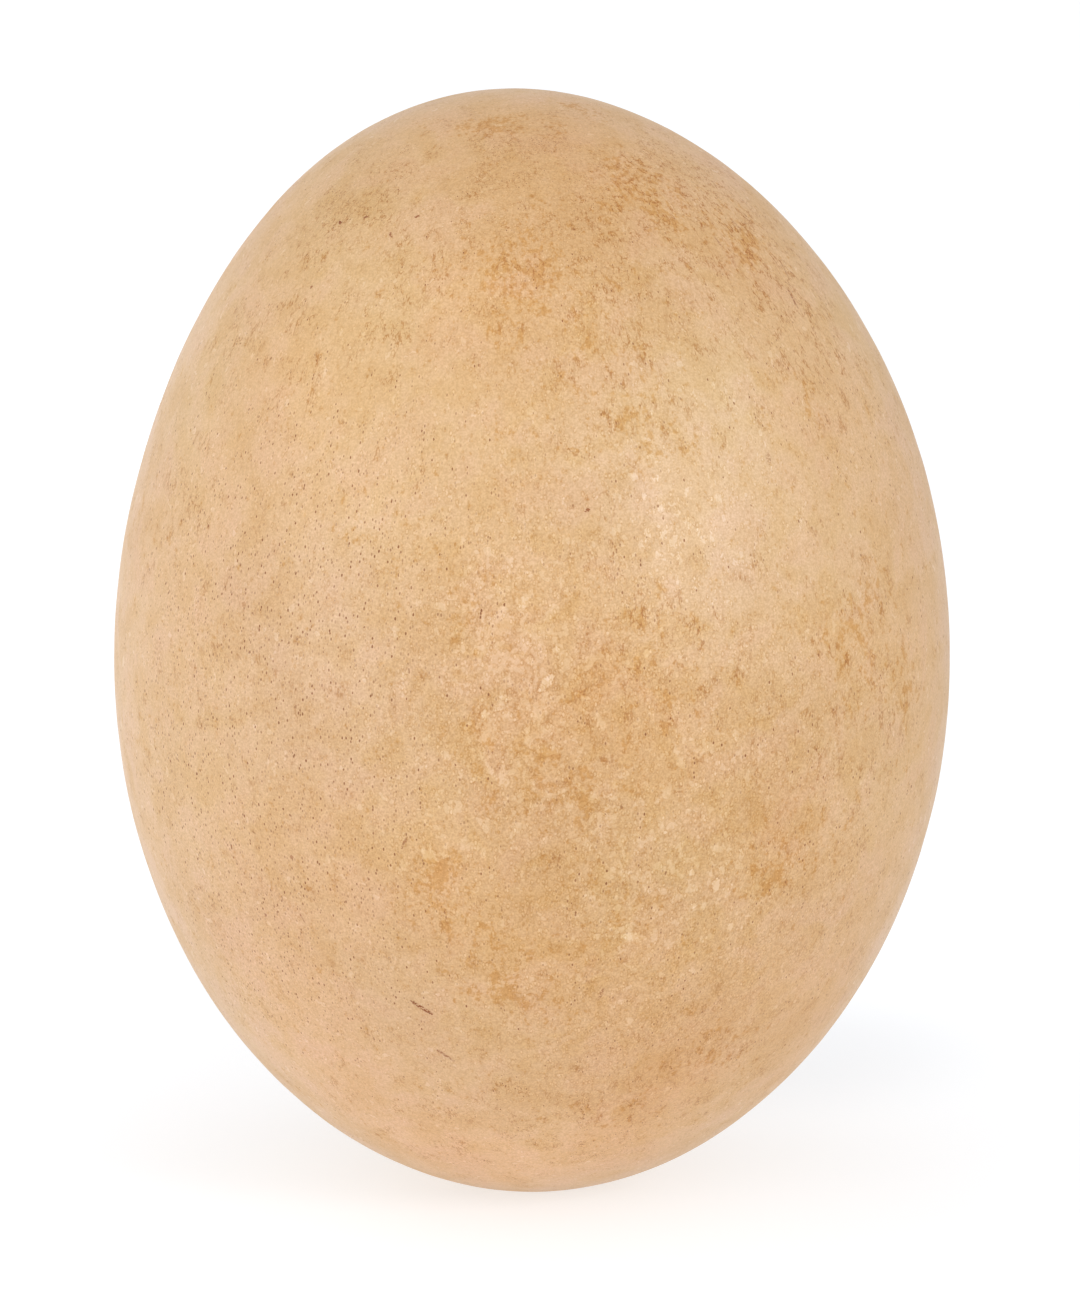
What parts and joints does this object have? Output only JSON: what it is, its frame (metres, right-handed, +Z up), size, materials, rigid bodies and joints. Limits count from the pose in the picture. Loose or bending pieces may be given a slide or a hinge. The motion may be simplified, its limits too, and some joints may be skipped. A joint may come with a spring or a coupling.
{
  "type": "elephant bird egg",
  "caption": "Whole elephant bird egg: a very large beige eggshell, finely pitted and stained, standing upright on a small flat spot at its blunter end.",
  "frame": {"origin": "centre of the flat spot that the egg stands on, under the middle of its bounding box", "axes": "+Z up along the egg's length, from the blunter end to the narrower end; -Y towards the camera of the picture; +X to the right in the picture. The upper end leans about 5 mm towards -X."},
  "size_m": [0.2266, 0.2266, 0.3],
  "materials": {
    "eggshell": "satin"
  },
  "bodies": {
    "root": {"egg": "eggshell"}
  },
  "joints": []
}
